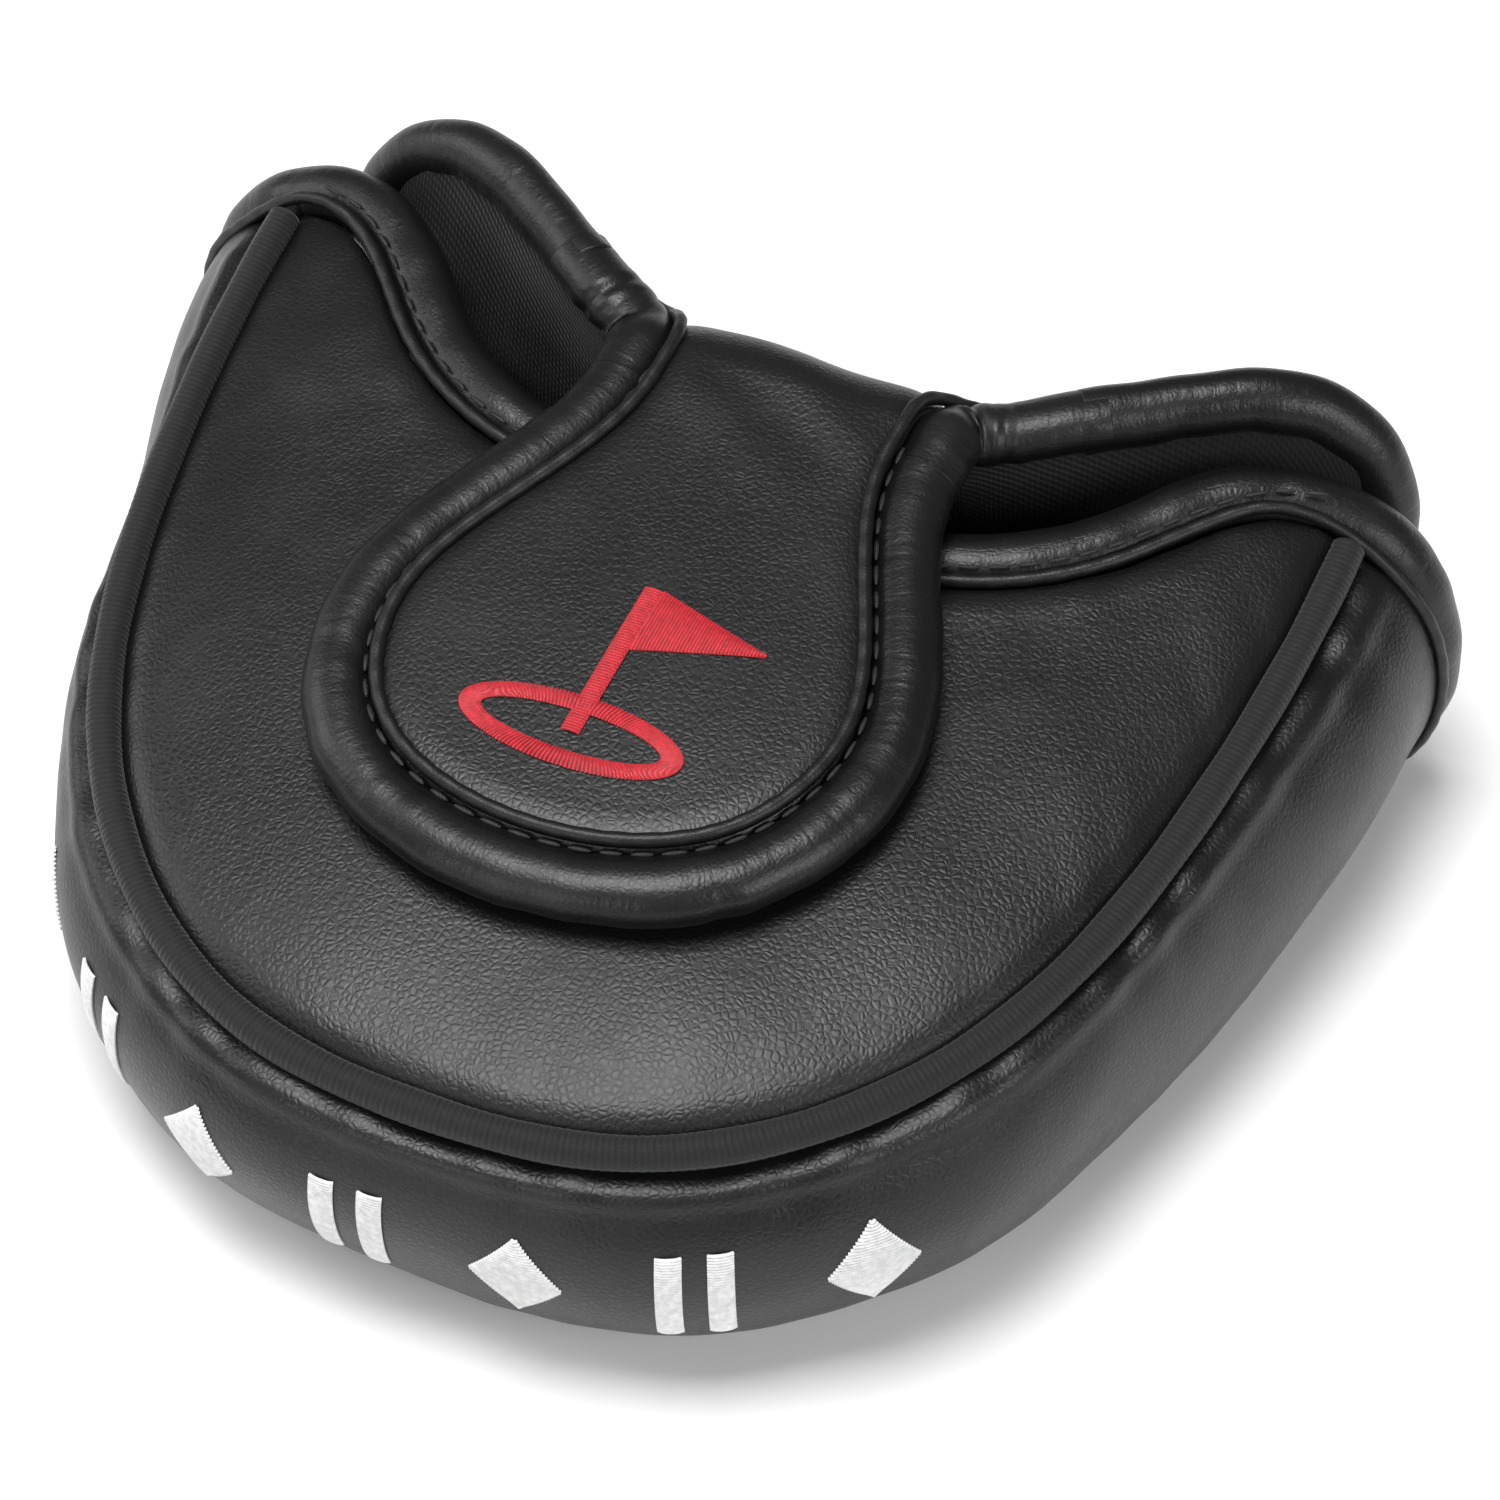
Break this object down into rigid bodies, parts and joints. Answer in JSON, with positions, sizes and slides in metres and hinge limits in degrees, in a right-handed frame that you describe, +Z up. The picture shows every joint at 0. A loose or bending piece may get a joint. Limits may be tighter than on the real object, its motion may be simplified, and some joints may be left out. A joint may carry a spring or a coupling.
{
  "type": "padded putter head cover",
  "caption": "Padded D-shaped mallet putter head cover with a rear wall and a tongue flap that folds over the top panel.",
  "frame": {"origin": "centre of the overall bounding box in plan, on the surface the cover rests on", "axes": "+X along the opening from heel to toe, +Y from the rounded front towards the rear wall, +Z up"},
  "size_m": [0.1474, 0.1226, 0.0495],
  "materials": {
    "leather": "black fine-grain coated leather, semi-gloss",
    "binding_leather": "black smooth coated leather, wrinkled over padding",
    "foam": "grey open-cell foam, hidden inside",
    "lining_fabric": "black twill weave",
    "ribbed_piping": "black woven piping with fine cross ribs, matte",
    "welt_cord": "thin black covered cord",
    "red_thread": "red satin stitch",
    "white_thread": "white satin stitch",
    "magnet": "plated disc, sealed inside"
  },
  "bodies": {
    "pouch": {"gusset_skin": "leather", "gusset_foam": "foam", "gusset_lining": "lining_fabric", "bottom_skin": "leather", "bottom_foam": "foam", "bottom_lining": "lining_fabric", "top_skin": "leather", "top_foam": "foam", "top_lining": "lining_fabric", "top_piping": "ribbed_piping", "bottom_piping": "ribbed_piping", "lip_binding": "binding_leather", "lip_cord": "welt_cord", "foot_fold": "leather", "panel_magnet_left": "magnet", "panel_magnet_right": "magnet", "gusset_row": "white_thread"},
    "rear_wall": {"wall_skin": "leather", "wall_foam": "foam", "wall_lining": "lining_fabric", "wall_binding_left": "binding_leather", "wall_binding_right": "binding_leather", "wall_cord_left": "welt_cord", "wall_cord_right": "welt_cord", "fold_panel": "leather", "fold_binding_left": "binding_leather", "fold_binding_right": "binding_leather"},
    "flap": {"flap_skin": "leather", "flap_foam": "foam", "flap_backing": "leather", "flap_binding": "binding_leather", "flap_cord": "welt_cord", "flap_badge": "red_thread", "flap_magnet_left": "magnet", "flap_magnet_right": "magnet"}
  },
  "joints": [
    {"name": "rear_wall_hinge", "type": "hinge", "parent": "pouch", "child": "rear_wall", "pos_m": [0, 0.05061, 0.004], "axis": [-1, 0, 0], "range_deg": [0, 60], "deforming": ["foot_fold"]},
    {"name": "flap_hinge", "type": "hinge", "parent": "rear_wall", "child": "flap", "pos_m": [0, 0.03365, 0.04119], "axis": [-1, 0, 0], "range_deg": [0, 90], "deforming": ["fold_panel", "fold_binding_left", "fold_binding_right"]}
  ]
}
